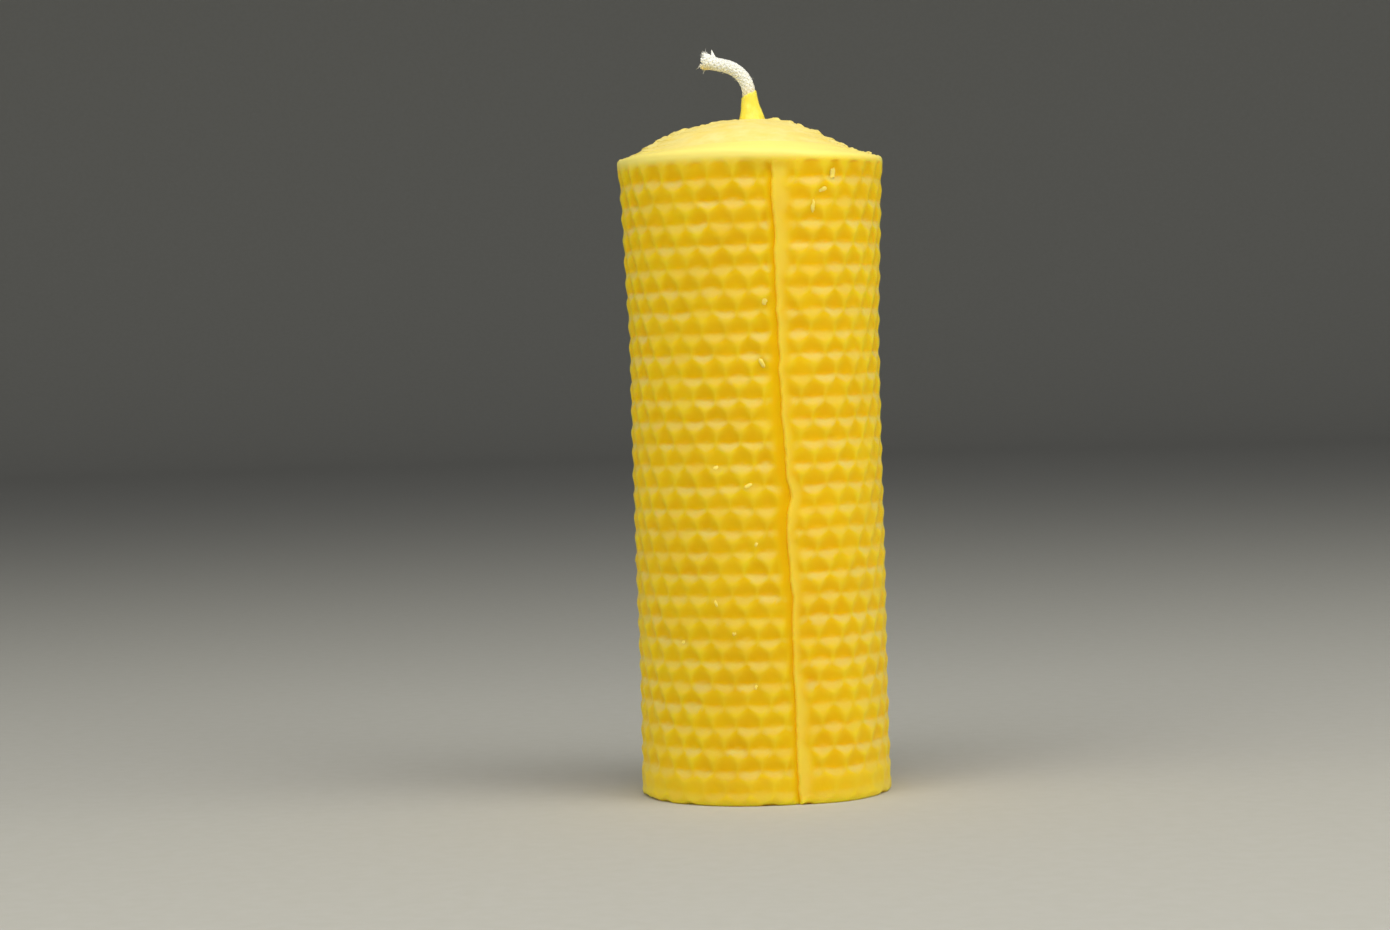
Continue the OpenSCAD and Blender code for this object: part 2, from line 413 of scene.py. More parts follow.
def cell_relief(column, height):
    """Depth below the peaks, and the painted sheen and shade on the cell's ledge, which starts sharply under
    the low line and fades towards the lowest corner. Each cell is a little deeper or shallower than the
    next, and the lowest row is pressed weakly. A slow noise pushes the lattice a little out of true."""
    side, rise = (WOBBLE * soft_noise(column * steps, height / long, seed)
                  for steps, long, seed in (SIDE_NOISE, RISE_NOISE))
    x, y, centre, row = nearest_cell(column + side / CELL_W, height + rise)
    luck_row = np.clip(row, -1, ROWS).astype(int) + 1
    luck = cell_luck[luck_row, np.floor(centre).astype(int) % LUCK_COLUMNS]
    pressed = ((row >= 0) & (row < ROWS)) * np.where(row == 0, LOWEST_PRESS, 1.0)
    inside = 1.0 - np.minimum(hex_share(x, y), 1.0)
    bowl = cell_bowl(x, y) * (1.0 + LUCK_DEPTH * luck * smooth_step(inside, 0.0, LUCK_FADE))
    ends = 1.0 - LEDGE_ENDS * (2.0 * np.abs(x) / CELL_W) ** 4
    # Painted sheen and shade on each cell's lower wall, which faces the lamp above.
    haze = smooth_step(-y, *LEDGE_TOP) * smooth_step(y, *LEDGE_FOOT) * ends
    return pressed * bowl, pressed * LEDGE_SHEEN_MOST * haze * (1.0 + LUCK_SHEEN * luck)


print("cells with their own luck", cell_luck.size)

# %% [markdown]
# ## The cut end
# The sheet's outer end is a cut that wanders a millimetre or two, where the knife followed the
# ridges. It lies on the turn below as a lapped seam. A dark line could be painted for it, but the
# step catches light, so it is part of the surface. Its wander is a straight slope with three soft
# nicks. A thumb pressed the end down, so the relief fades out on both sides: in a narrow strip
# right of the cut, and in a plain band left of it that is broadest about half height.

# %% The end's wander
SEAM_TOP, SEAM_FOOT = -1.7, 1.1
# Height, half height and depth in mm of each nick.
SEAM_NICKS = ((66.0, 3.2, 1.3), (43.0, 4.5, 0.7), (75.0, 7.0, 0.5))
# Depth in mm, mm a step, line of the lattice and seed of the two noises.
SEAM_NOISES = ((0.3, 3.2, 0.5, 5), (0.18, 1.1, 3.5, 6))
SEAM_CLOSES = (RIM_Z - 3.5, RIM_Z - 0.8)


def seam_wander(height):
    """Sideways place of the cut in mm: a slope from foot to top, bell-shaped nicks and a fine noise."""
    line = SEAM_FOOT + (SEAM_TOP - SEAM_FOOT) * height / RIM_Z
    nicks = sum(deep * bell(height, z, wide) for z, wide, deep in SEAM_NICKS)
    rough = sum(deep * soft_noise(height / long, at, seed) for deep, long, at, seed in SEAM_NOISES)
    return line + nicks + rough


def from_cut(column, height):
    """Distance in mm right of the cut, and the same one turn on, which is below zero left of the cut."""
    right = (column + FIRST_CELL) * CELL_W - seam_wander(height)
    return right, right - CELLS_PER_TURN * CELL_W


def closing(height):
    """0 along the seam and 1 near the rim, where the wax was melted over and the seam closes."""
    return smooth_step(height, *SEAM_CLOSES)


print("wander at foot, middle and top", seam_wander(np.array([0.0, 66.0, 138.0])).round(2).tolist())

# %% The face without its relief
THUMB_DEEP, THUMB_WIDE = 1.85, 7.0
SEAM_GROOVE = 0.3
# Height in mm, steps a turn, mm a step and seed of the swelling, and how high up it is at its full.
SWELL, SWELL_STEPS, SWELL_LONG, SWELL_SEED = 0.18, 8, 26.0, 21
SWELL_FULL = 8.0


def swell(turn, height):
    """Slow swelling of the whole face, which meets itself after one turn and dies out at the foot."""
    waves = soft_noise(turn * SWELL_STEPS, height / SWELL_LONG, SWELL_SEED, SWELL_STEPS)
    return SWELL * waves * smooth_step(height, 0.0, SWELL_FULL)


def smooth_face(column, height):
    """Radius of the outer face without its relief: the spiral, with a bell-shaped dent of the thumb right
    of the cut, and left of the cut a like swelling that meets the end where the seam closes."""
    turn = (column + FIRST_CELL) / CELLS_PER_TURN
    right, left = from_cut(column, height)
    thumb = THUMB_DEEP * bell(right, 0.0, THUMB_WIDE)
    raised = (SHEET_PITCH - THUMB_DEEP) * closing(height) * bell(left, 0.0, THUMB_WIDE)
    return outer_face(turn) - thumb + raised + swell(turn, height)


def step_foot(column, height):
    """Radius at the foot of the step, under the cut end: the face left of the cut, less the groove."""
    return smooth_face(column + CELLS_PER_TURN, height) - SEAM_GROOVE * (1.0 - closing(height))


print("radius right of the cut at half height", smooth_face(1.0 - FIRST_CELL, 66.0).round(2))

# %% Strip and band beside the cut
STRIP_LEAST, STRIP_RAGGED, STRIP_LONG = 0.9, 0.8, 3.4
# How much wider the strip gets near the top and the foot, and between which heights, all in mm.
STRIP_WIDER = ((1.5, 108.0, 128.0), (1.0, 36.0, 8.0))
BAND_LEAST, BAND_MORE = 1.6, 1.8
BAND_LOW, BAND_HIGH = (25.0, 60.0), (115.0, 85.0)


def strip_edge(height):
    """Where the relief begins right of the cut, in mm: further off near the foot and the top, and ragged."""
    wider = sum(wide * smooth_step(height, low, high) for wide, low, high in STRIP_WIDER)
    return STRIP_LEAST + wider + STRIP_RAGGED * soft_noise(height / STRIP_LONG, 7.5, 7)


def band_width(height):
    """Width in mm of the plain band left of the cut: broad about the middle and narrow at both ends."""
    return BAND_LEAST + BAND_MORE * smooth_step(height, *BAND_LOW) * smooth_step(height, *BAND_HIGH)


print("plain band at foot, middle and top", band_width(np.array([0.0, 72.0, 138.0])).round(2).tolist())

# %% The face with its relief
STRIP_DEEP = 0.42
# Share of the hollows' orange in the band left of the cut: painted shade in the groove.
BAND_PIT = 0.8
# Where each starts and ends to fade: relief and colour of the strip and the rim's relief in mm, and
# relief and colour of the band in band widths.
STRIP_FADE, STRIP_TINT, RIM_FADE = (0.0, 2.4), (-0.8, 1.6), (0.4, 1.7)
BAND_FADE, BAND_TINT = (-1.3, -0.4), (-1.3, -0.1)


def pressed_face(column, height):
    """Radius of the outer face, depth of its relief and its painted ledge sheen. The relief fades towards
    the rim and the cut, and a shallow groove runs along the left of the cut."""
    right, left = from_cut(column, height)
    plain = smooth_step(left / band_width(height), *BAND_FADE)
    strip = 1.0 - smooth_step(right - strip_edge(height), *STRIP_FADE)
    smooth = smooth_face(column, height)
    fade = (1.0 - strip) * (1.0 - plain) * smooth_step(dome(smooth) - height, *RIM_FADE)
    depth, haze = cell_relief(column, height)
    beside = STRIP_DEEP * strip + SEAM_GROOVE * plain
    depth = depth * fade + beside * (1.0 - closing(height))
    return smooth - depth, depth, haze * fade


def beside_cut(column, height):
    """Two shares for the colour: of the painted shade in the groove left of the cut, and of the strip right
    of it, which takes a painted highlight.
    """
    right, left = from_cut(column, height)
    groove = BAND_PIT * smooth_step(left / band_width(height), *BAND_TINT)
    strip = 1.0 - smooth_step(right - strip_edge(height), *STRIP_TINT)
    return groove * (1.0 - closing(height)), strip * (1.0 - closing(height))


print("depth of the relief in a cell at half height", pressed_face(16.0, 66.0)[1].round(2))

# %% [markdown]
# ## The honeycomb sheet
# One grid makes the outer sheet, closed into a ring: the lap at the seam is pressed so tight that
# it counts as one thickness of wax. Its columns run round the spiral, ten to a cell, and climb
# the cut in a rounded step. Its rows run up the face, over the lip and down the inside. They bend
# in a zigzag with the hexagons' slanted sides, so the ridges lie on or near edges of the grid.
# Displacing a plain cylinder would need far more faces for ridges as clean.

# %% Columns of the outer sheet
PER_CELL = 10
STEP_FROM, STEP_WIDE = -0.15, 0.75
STEP_POINTS, STEP_CROWD, STEP_POWER = 12, 1.6, 2.8
# Two more columns stand before the step, this many mm from its start.
STEP_LEAD = np.array([-0.4, -0.15])
# Room in columns between the step and the even columns, after it and before it.
AFTER_STEP, BEFORE_STEP = 0.05, 0.17
# Columns this near to the cut follow its wander wholly, and less and less over the next ones.
FOLLOW_NEAR, FOLLOW_FADE = 0.25, 1.3

step_at = STEP_FROM + STEP_WIDE * np.linspace(0.0, 1.0, STEP_POINTS) ** STEP_CROWD
step_at = np.append(STEP_FROM + STEP_LEAD, step_at)
step_columns = step_at / CELL_W - FIRST_CELL
last_column = CELLS_PER_TURN - FIRST_CELL
cell_columns = np.arange(step_columns[-1] + AFTER_STEP, last_column - BEFORE_STEP, 1.0 / PER_CELL)
columns = np.concatenate([step_columns, cell_columns])
climb = np.ones(columns.size)
climb[:step_at.size] = 1.0 - (1.0 - np.clip((step_at - STEP_FROM) / STEP_WIDE, 0.0, 1.0)) ** STEP_POWER
to_seam = np.minimum(np.abs(columns + FIRST_CELL), last_column - columns)
follow = np.clip(1.0 - (to_seam - FOLLOW_NEAR) / FOLLOW_FADE, 0.0, 1.0)
print("columns", columns.size, "of them on the step", step_at.size)

# %% Rows of the outer sheet
PER_ROW = 8
# Rows that would pass this height are drawn together, so that they stay under the lip.
TUCK_Z, TUCK = RIM_Z - 1.6, 0.3

row_of = np.append(np.repeat(np.arange(ROWS), PER_ROW), ROWS - 1)
in_row = np.append(np.tile(np.arange(PER_ROW) * 2.0 / PER_ROW - 1.0, ROWS), 1.0)
level = FIRST_ROW_Z + row_of * ROW_STEP + CELL_SIDE * 0.75 * in_row
column = columns[None, :] + follow[None, :] * seam_wander(level)[:, None] / CELL_W
from_centre = column - row_shift(row_of)[:, None]
swing = np.abs(from_centre - np.round(from_centre))
height = FIRST_ROW_Z + row_of[:, None] * ROW_STEP + CELL_SIDE * (1.0 - swing) * in_row[:, None]
height = np.where(height > TUCK_Z, TUCK_Z + TUCK * (height - TUCK_Z), height)
turn = (column + FIRST_CELL) / CELLS_PER_TURN
print("rows on the face", in_row.size)

# %% Outer face
# Shares of the hollows' orange: in the cells, and on the face of the step as painted shade.
CELL_PIT, STEP_PIT = 0.7, 0.6


def climbed(column, height, face_r):
    """Radius with the step at the cut: from the foot of the step, the column's climb up to the face."""
    low = step_foot(column, height)
    return low + climb * (face_r - low)


face_r, depth, haze = pressed_face(column, height)
radius = climbed(column, height, face_r)
groove, strip = beside_cut(column, height)
# The groove left of the cut and the face of the step take the orange of the hollows, as painted shade.
pit = np.maximum(CELL_PIT * np.clip(depth / CELL_DEPTH, 0.0, 1.0), groove)
pit = pit * climb + STEP_PIT * (1.0 - climb)
print("deepest cell in mm", depth.max().round(2))

# %% [markdown]
# ## Trimmed top and worn foot
# The dome was trimmed by hand, so its turns stand out as rough steps on the right and left and
# are smeared flat at the front and back. A smooth dome with a bump texture would keep a smooth
# outline, so the unevenness is part of the height. The lower edge has a few nicks from handling.

# %% Height of the dome
STEP_LEAST, STEP_RIGHT, STEP_LEFT = 0.01, 0.4, 0.28
ROUGH_LEAST, ROUGH_GAIN = 0.04, 1.2
# The noise along the turns has this many mm a step across and steps a turn; the other is over the plan.
ALONG_MM, ALONG_STEPS = 1.2, 24
PLAN_MM, PLAN_SHARE = 0.9, 0.6
# How much lower the dome was trimmed at the right and the left: depth, radius and half width in mm.
SHOULDERS = ((2.1, 20.0, 7.5), (0.9, 22.5, 4.5))


def stepping(turns_in):
    """How far the turns stand out as steps: most on the right, less on the left, and smeared out at the
    front and back, by the fourth power of the cosine of the angle."""
    across = np.cos(angle_at(turns_in))
    return STEP_LEAST + np.where(across > 0.0, STEP_RIGHT, STEP_LEFT) * across ** 4


def dome_uneven(turns_in, radius):
    """Unevenness of the trimmed dome, stronger where the turns stand out: a noise that is short across the
    turns and long along them, and a finer one over the plan. The shoulders at the right and the left are
    trimmed lower, in a bell over the radius."""
    angle = angle_at(turns_in)
    x, y = radius * np.cos(angle), radius * np.sin(angle)
    rough = ROUGH_LEAST + ROUGH_GAIN * stepping(turns_in)
    right, left = (deep * bell(radius, at, wide) for deep, at, wide in SHOULDERS)
    lowered = np.where(x > 0.0, right, left) * np.cos(angle) ** 2
    along = soft_noise(radius / ALONG_MM, turns_in * ALONG_STEPS, 41, ALONG_STEPS)
    return rough * (along + PLAN_SHARE * soft_noise(x / PLAN_MM, y / PLAN_MM, 42)) - lowered


def top_edge(turns_in, radius):
    """Height of a turn's cut edge: the dome, but flatter about the middle of the turn, so that the turns
    lie in steps."""
    middle = 0.5 * (outer_face(turns_in) + inner_face(turns_in))
    return dome(middle + (1.0 - stepping(turns_in)) * (radius - middle))


print("rim height in mm at the seam", top_edge(0.0, ROLL_R).round(2))

# %% Lower edge of the sheet
# Degrees right of the front, half width in degrees and height in mm of nicks in the lower edge.
FOOT_NICKS = ((0.5, 4.0, 0.5), (18.5, 2.2, 0.45), (-55.5, 3.2, 0.45), (-39.5, 2.6, 0.35),
              (66.5, 4.0, 0.5), (-88.0, 24.0, 0.6))
FOOT_ROUGH, FOOT_STEPS = 0.2, 40
FRONT = np.radians(-90.0)
# The base starts this far in, and further where there is a nick.
FOOT_IN, NICK_IN = 0.45, 1.6
# Shares of that and of the nick's height at the slope into a nick.
SLOPE_IN, SLOPE_HIGH = 0.9, 0.4
# Distance in, height, and room left under the face, in mm, of two rows that round the edge off.
EDGE_ROUND = ((0.3, 0.1, 0.2), (0.05, 0.4, 0.08))


def lower_edge(turns_in):
    """Height of the lower edge above the base: the nicks, as flat-topped bells, and a fine noise."""
    right = np.degrees(angle_at(turns_in) - FRONT)
    right = (right + 180.0) % 360.0 - 180.0
    nicks = sum(high * bell(right, at, wide, 4) for at, wide, high in FOOT_NICKS)
    return nicks + FOOT_ROUGH * np.maximum(soft_noise(turns_in * FOOT_STEPS, 0.5, 31, FOOT_STEPS), 0.0)


def edge_rows(turns_in, *pairs):
    """Rows of the ring: for each pair of radius and height, turns, radius and height of every column."""
    return [np.stack(np.broadcast_arrays(turns_in, r, z)) for r, z in pairs]


foot_turn = turn[0]
foot_r = climbed(column[0], 0.0, smooth_face(column[0], 0.0))
nick = lower_edge(foot_turn)
foot_in = FOOT_IN + NICK_IN * nick
foot_rows = edge_rows(foot_turn, (foot_r - foot_in, 0.0), (foot_r - SLOPE_IN * foot_in, SLOPE_HIGH * nick))
for inwards, high, room in EDGE_ROUND:
    foot_rows += edge_rows(foot_turn, (foot_r - inwards, np.minimum(high + nick, height[0] - room)))
print("highest nick in mm", nick.max().round(2))

# %% Lip of the sheet
LIP_HIGH, LIP_WIDE, LIP_SWAY = 1.3, 0.95, 0.35
LIP_CLEAR = 0.1
LIP_ROWS = 5

head_turn = turn[-1]
rim_r = climbed(column[-1], RIM_Z, smooth_face(column[-1], RIM_Z))
rim_z = top_edge(head_turn, rim_r)
lip_wide = LIP_WIDE + LIP_SWAY * np.cos(angle_at(head_turn))
lip_low = np.maximum(rim_z - LIP_HIGH, height[-1] + LIP_CLEAR)
lip_in_r = rim_r - lip_wide
lip_in_z = top_edge(head_turn, lip_in_r)
head_rows = edge_rows(head_turn, (rim_r, 0.5 * (height[-1] + lip_low)))
# A curve of second degree from the face to the dome, with the corner of the rim as its handle.
for share in np.linspace(0.0, 1.0, LIP_ROWS):
    r = rim_r - lip_wide * share ** 2
    z = (1 - share) ** 2 * lip_low + 2 * share * (1 - share) * rim_z + share ** 2 * lip_in_z
    head_rows += edge_rows(head_turn, (r, z + share * dome_uneven(head_turn, r)))
print("lip width in mm", lip_wide.min().round(2), "to", lip_wide.max().round(2))

# %% Top and inner face of the sheet
LAP_TURNS = 38.0 / 32.0
LAP_SLACK = 0.004
LAP_CLEAR = 0.3
# The last row of a face between two turns lies this far under the top edge, below the deepest trim.
SHOULDER = 4.5
HALF_WAY = 50.0
BEVEL_HIGH, BEVEL_IN = 0.4, 0.3
# Shares of the way in: over one layer of sheet, and over the two layers of the lap, whose line is at 1.
WAY_IN = ((0.15, 0.3), (0.3, 0.6), (0.45, 0.9), (0.6, 1.0), (0.75, 1.1), (0.96, 1.96), (1.0, 2.0))

lapped = head_turn < LAP_TURNS - 1.0 - LAP_SLACK
back_r = inner_face(head_turn + lapped)
lap_line = np.minimum(outer_face(head_turn + 1.0), lip_in_r - LAP_CLEAR)
top_in = back_r - 0.5 * TURN_GAP
for one, two in WAY_IN:
    single = lip_in_r * (1.0 - one) + top_in * one
    outer_layer = lip_in_r * (1.0 - two) + lap_line * two
    inner_layer = lap_line * (2.0 - two) + top_in * (two - 1.0)
    r = np.where(lapped, outer_layer if two <= 1.0 else inner_layer, single)
    z = top_edge(head_turn + lapped * (two > 1.0), r)
    head_rows += edge_rows(head_turn, (r, z + dome_uneven(head_turn, r)))
back_top = top_edge(head_turn + lapped, back_r) - SHOULDER
back_rows = edge_rows(head_turn, (back_r, back_top), (back_r, FLARE_Z))
back_rows += edge_rows(foot_turn, (back_r, HALF_WAY), (back_r, BEVEL_HIGH), (back_r + BEVEL_IN, 0.0))
sheet = np.stack(foot_rows + list(np.stack([turn, radius, height], 1)) + head_rows + back_rows)
print("rows in the ring", sheet.shape[0])

# %% Make the sheet
# The rim takes bloom and a painted highlight; the strip right of the cut takes a painted highlight.
RIM_BLOOM_HIGHLIGHT, RIM_HIGHLIGHT_FADE = 0.95, (RIM_Z - 1.7, RIM_Z + 0.3)
STRIP_HIGHLIGHT = 0.28

rows, cols = sheet.shape[0], columns.size
points = on_roll(sheet[:, 0], sheet[:, 1], sheet[:, 2]).reshape(-1, 3)
faces = grid_quads(rows, cols, wrap_rows=True, wrap_cols=True).tolist()
on_face = slice(len(foot_rows), len(foot_rows) + in_row.size)
pit_all, haze_all = np.zeros((2, rows, cols))
pit_all[on_face] = pit
# Painted sheen and shade of the ledges, on the rows of the face.
haze_all[on_face] = haze * climb
# Bloom with a painted highlight near the rim, and a painted highlight on the strip right of the cut.
bloom_all = RIM_BLOOM_HIGHLIGHT * smooth_step(sheet[:, 2], *RIM_HIGHLIGHT_FADE)
bloom_all[on_face] = np.maximum(bloom_all[on_face], STRIP_HIGHLIGHT * strip * climb)
candle_piece("honeycomb_sheet", points, faces, pressed_wax, "honeycomb_wax", ("outer_sheet",),
             pit=pit_all, haze=haze_all, bloom=bloom_all)

# %% [markdown]
# ## The turns inside
# Two more lengths of sheet fill the roll. Only their cut edges show, as the turns of the dome and
# of the base. A single lathed dome could stand in for them, but it would have no turns. Each length
# is a closed profile carried along the spiral: two faces and two edges. The upper edge has the
# dome's unevenness, which follows the turns. It feathers out into the turn outside it, so that no
# gap shows between them.

# %% Dome wax material
dome_wax = new_material("beeswax_cut_edge")
place = add_node(dome_wax, "TexCoord")
groove_shade_value = add_node(dome_wax, "Attribute", attribute_name="groove")
# The cut smears the wax, which leaves it paler and duller than the pressed face, in 3 mm clouds; the top is
# drawn paler still, as a painted highlight from the lamp above.
clouds = add_node(dome_wax, "TexNoise", {"Vector": (place, "Object")},
                  {"Scale": 1.0 / (3 * MM), "Detail": 3.0})
pale = add_node(dome_wax, "ValToRGB", {"Fac": (clouds, "Fac")},
                stops=((0.3, "#FBE278"), (0.7, "#FDEC98")))
# Painted shade: near the grooves between turns that stand out, the cut edge is drawn a deeper yellow.
turned = add_node(dome_wax, "Mix", {"Factor": (groove_shade_value, "Fac"), "A": (pale, "Color")},
                  {"B": linear("#F8DE6C")}, data_type="RGBA")
# Knife marks about 0.8 mm across.
marks = add_node(dome_wax, "TexNoise", {"Vector": (place, "Object")},
                 {"Scale": 1.0 / (0.8 * MM), "Detail": 4.0})
smear = add_node(dome_wax, "Bump", {"Height": (marks, "Fac")},
                 {"Strength": 0.4, "Distance": 0.2 * MM})
# No scattering here: it would leak out at the edge of each piece and draw dark rings on the dome.
dome_shader = add_node(dome_wax, "BsdfPrincipled",
                       {"Base Color": (turned, "Result"), "Normal": (smear, "Normal")},
                       {"Roughness": 0.5, "IOR": WAX_IOR})
add_node(dome_wax, "OutputMaterial", {"Surface": (dome_shader, "BSDF")})
print(dome_wax.name, len(dome_wax.node_tree.nodes), "nodes")

# %% Upper edge of a length
# Rows over the edge, as shares of the way from the inner face to the outer one.
CROWN = np.array([1.0, 0.98, 0.85, 0.68, 0.5, 0.32, 0.15, 0.02, 0.0])
# How far in mm the edge runs into the turn outside and dips there, and the power that brings it in.
OVERLAP, FEATHER, FEATHER_POWER = 0.2, 0.05, 8
# Groove of a turn that stands out wholly: depth and its beat from cell to cell in mm, and the widths
# of its shape and of its painted shade as shares of the sheet.
GROOVE_DEEP, GROOVE_BEAT, GROOVE_WIDE, GROOVE_TINT = 0.22, 0.1, 0.25, 0.16


def crown_rows(turns, outer, inner):
    """Radius and height of the top edge, row by row from the outer face to the inner one. It reaches over
    the gap and runs into the turn outside it. Where the turns stand out, grooves lie between them, deeper
    at the cells that were cut."""
    along = np.cumsum(np.hypot(np.gradient(outer), outer * TURN * np.gradient(turns)))
    beat = np.cos(TURN * along / CELL_W)
    rows = []
    for share in CROWN:
        thin = share ** FEATHER_POWER
        r = inner + (outer - inner) * share + TURN_GAP * (share - 0.5) + OVERLAP * thin
        side = 1.0 if share > 0.5 else -1.0
        to_edge = smooth_step(min(share, 1.0 - share), 0.0, GROOVE_WIDE)
        dip = stepping(turns) * (GROOVE_DEEP + GROOVE_BEAT * side * beat) * (1.0 - to_edge)
        rows.append((r, top_edge(turns, r) - dip + dome_uneven(turns, r) - FEATHER * thin))
    return rows


print("rows over the edge of a turn", CROWN.size)

# %% A length of rolled sheet
SHEET_LEN = 395.0
INNER_TURNS = (np.sqrt(SHEET_LEN * SHEET_PITCH / np.pi + EYE_R ** 2) - EYE_R) / SHEET_PITCH
FIRST_EDGE = (0.5 + TURN_GAP) / SHEET_PITCH
JOINT_GAP = 0.001
PER_TURN = 280
CHAMFER, CHAMFER_IN, CHAMFER_SHARE = 0.4, 0.35, 0.3


def rolled_length(name, start, end, node):
    """A closed profile carried along the spiral. Going round it: the outer face upwards, the top edge,
    the inner face downwards, and a chamfered lower edge. A flat face closes each end."""
    turns = np.linspace(start, end, int((end - start) * PER_TURN))
    outer, inner = outer_face(turns), inner_face(turns)
    base = np.zeros_like(turns)
    low, mid = base + CHAMFER, base + FLARE_Z
    soft = np.minimum(CHAMFER_IN, CHAMFER_SHARE * (outer - inner))
    rise = [(outer - soft, base), (outer, low), (outer, mid), (outer, top_edge(turns, outer) - SHOULDER)]
    fall = [(inner, top_edge(turns, inner) - SHOULDER), (inner, mid), (inner, low), (inner + soft, base)]
    profile = rise + crown_rows(turns, outer, inner) + fall
    radii, heights = (np.stack([pair[k] for pair in profile]) for k in (0, 1))
    # Painted shade near the grooves between turns: full on both faces and at both sides of the edge, none
    # across its middle.
    groove_shade_share = 1.0 - smooth_step(np.minimum(CROWN, 1.0 - CROWN), 0.0, GROOVE_TINT)
    groove_shade_share = np.concatenate([np.ones(len(rise)), groove_shade_share, np.ones(len(fall))])
    rings, count = radii.shape
    ring = np.arange(rings) * count
    faces = grid_quads(rings, count, wrap_rows=True).tolist()
    faces += [ring.tolist(), (ring[::-1] + count - 1).tolist()]
    points = on_roll(turns[None, :], radii, heights).reshape(-1, 3)
    candle_piece(name, points, faces, dome_wax, "sheet_wax", (node,),
                 groove=groove_shade_share[:, None] * stepping(turns))


joint = ALL_TURNS - INNER_TURNS
rolled_length("middle_roll", LAP_TURNS + JOINT_GAP, joint - JOINT_GAP, "middle_sheet")
rolled_length("inner_roll", joint, ALL_TURNS - FIRST_EDGE, "inner_sheet")

# %% [markdown]
# ## The wax collar
# Wax crept up the wick and set as a sleeve with a wide foot and a slanting lip. It is a profile
# turned about the wick: up the outside, over the lip and down the bore. The lip's height depends
# on the angle, which a plain lathe could not give, and a little noise makes it look melted.

# %% Collar material
collar_wax = new_material("beeswax_melted_and_set")
place = add_node(collar_wax, "TexCoord")
# Set from a melt, so it is clearer, glossier and deeper in colour than cut wax, in 2.5 mm swirls.
swirl = add_node(collar_wax, "TexNoise", {"Vector": (place, "Object")},
                 {"Scale": 1.0 / (2.5 * MM), "Detail": 2.0})
amber = add_node(collar_wax, "ValToRGB", {"Fac": (swirl, "Fac")},
                 stops=((0.3, "#FBDE40"), (0.7, "#FDE868")))
ripple = add_node(collar_wax, "Bump", {"Height": (swirl, "Fac")},
                  {"Strength": 0.3, "Distance": 0.2 * MM})
collar_shader = add_node(collar_wax, "BsdfPrincipled",
                         {"Base Color": (amber, "Color"), "Normal": (ripple, "Normal")},
                         {"Roughness": 0.32, "IOR": WAX_IOR, "Subsurface Weight": 0.4,
                          "Subsurface Radius": WAX_RADIUS, "Subsurface Scale": 0.5 * MM})
add_node(collar_wax, "OutputMaterial", {"Surface": (collar_shader, "BSDF")})
print(collar_wax.name, len(collar_wax.node_tree.nodes), "nodes")

# %% Sleeve and lip of the collar
WICK_X = EYE_SHIFT * (1.0 - EYE_R / ROLL_R)
WICK_R = 1.42
WICK_LEAN = 0.45
SLEEVE_R = 1.64
COLLAR_H = 6.4
# The foot spreads this far, by a power of the share from the top, in three weak lobes.
COLLAR_SPREAD, SPREAD_POWER, SPREAD_MOST = 1.2, 1.6, 1.1
LOBES, LOBE_SHARE, LOBE_TURN = 3.0, 0.12, 0.7
COLLAR_SUNK = -0.35
COLLAR_SLANT = np.tan(np.radians(26.0))
COLLAR_ROWS, COLLAR_COLS = 15, 72
# Height in mm and steps a turn of the lip's noise and of the lumps, and mm a step up the lumps.
LIP_ROUGH, LIP_STEPS = 0.18, 12
LUMPS, LUMP_STEPS, LUMP_LONG, LUMP_FADE = 0.09, 10, 1.1, (-0.2, 0.8)
# The stem stops this far under the lip, which drops by these on its outer side and into the bore.
LIP_UNDER, LIP_ROUND, LIP_DROP = 0.2, 0.06, 0.1


def wick_lean(height):
    """How far the wick leans to the left between the dome and its bend: nothing below, then smoothly."""
    return WICK_LEAN * smooth_step(height, EYE_Z, EYE_Z + COLLAR_H)


around = np.linspace(0.0, TURN, COLLAR_COLS, endpoint=False)
slant = SLEEVE_R * COLLAR_SLANT * (1.0 - np.cos(around))
lip_h = COLLAR_H - slant + LIP_ROUGH * soft_noise(around * LIP_STEPS / TURN, 0.5, 61, LIP_STEPS)
up = np.linspace(0.0, 1.0, COLLAR_ROWS)[:, None]
stem_h = COLLAR_SUNK + up * (lip_h - LIP_UNDER - COLLAR_SUNK)
taper = COLLAR_SPREAD * np.clip(1.0 - stem_h / COLLAR_H, 0.0, SPREAD_MOST) ** SPREAD_POWER
lobes = 1.0 + LOBE_SHARE * np.cos(LOBES * around + LOBE_TURN)
lumps = LUMPS * soft_noise(around * LUMP_STEPS / TURN, stem_h / LUMP_LONG, 62, LUMP_STEPS)
stem_r = SLEEVE_R + taper * lobes + lumps * smooth_step(stem_h, *LUMP_FADE)
print("collar foot in mm", stem_r[0].max().round(2), "lip", lip_h.min().round(2), "to", lip_h.max().round(2))

# %% Make the collar
bore_r = np.full_like(around, WICK_R)
over = ((stem_r[-1] - LIP_ROUND, lip_h - LIP_ROUND), (0.5 * (stem_r[-1] + bore_r), lip_h),
        (bore_r, lip_h - LIP_DROP))
collar_r = np.vstack([stem_r, *[r for r, h in over], bore_r])
collar_h = np.vstack([stem_h, *[h for r, h in over], np.full_like(around, COLLAR_SUNK)])
collar_x = WICK_X - wick_lean(EYE_Z + collar_h) + collar_r * np.cos(around)
collar_points = np.stack([collar_x, collar_r * np.sin(around), EYE_Z + collar_h], -1).reshape(-1, 3)
collar_faces = grid_quads(*collar_r.shape, wrap_rows=True, wrap_cols=True).tolist()
candle_piece("melted_collar", collar_points, collar_faces, collar_wax, "collar_wax", ("wax_collar",))

